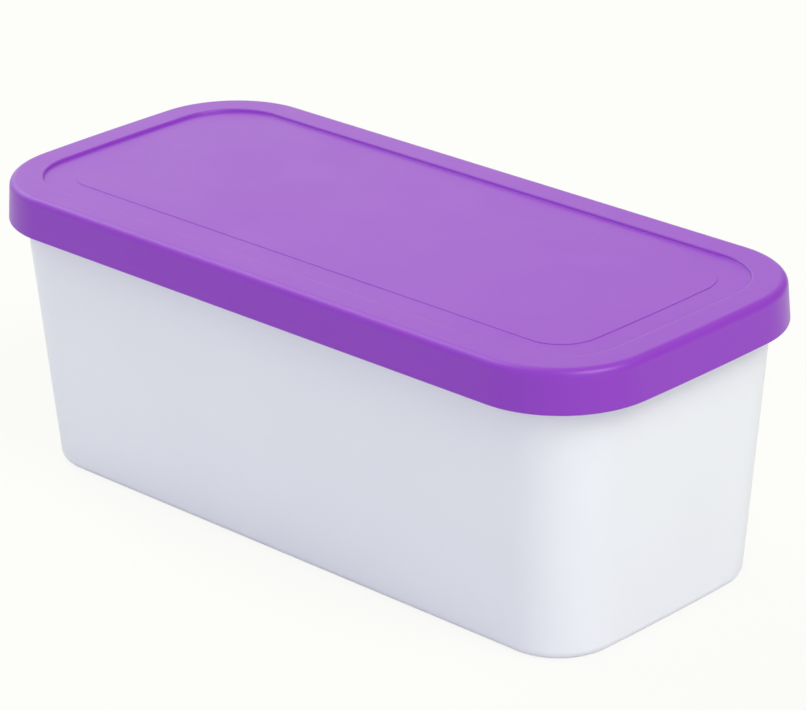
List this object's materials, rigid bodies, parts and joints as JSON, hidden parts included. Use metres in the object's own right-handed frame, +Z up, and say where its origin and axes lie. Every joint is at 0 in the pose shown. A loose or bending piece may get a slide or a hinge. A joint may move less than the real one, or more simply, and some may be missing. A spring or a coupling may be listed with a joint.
{
  "type": "ice cream storage box",
  "caption": "Long rounded rectangular box for storing ice cream: a white tub with leaning walls, shut by a soft purple lid with an overhanging skirt and a sunken top.",
  "frame": {"origin": "middle of the footprint, on the surface the box stands on", "axes": "+X along the box, +Y across it, +Z up through the lid"},
  "size_m": [0.25, 0.1144, 0.0943],
  "materials": {
    "tub_plastic": "satin white polypropylene with a faint blue cast",
    "lid_silicone": "satin purple silicone"
  },
  "bodies": {
    "root": {"tub": "tub_plastic", "lid": "lid_silicone"}
  },
  "joints": []
}
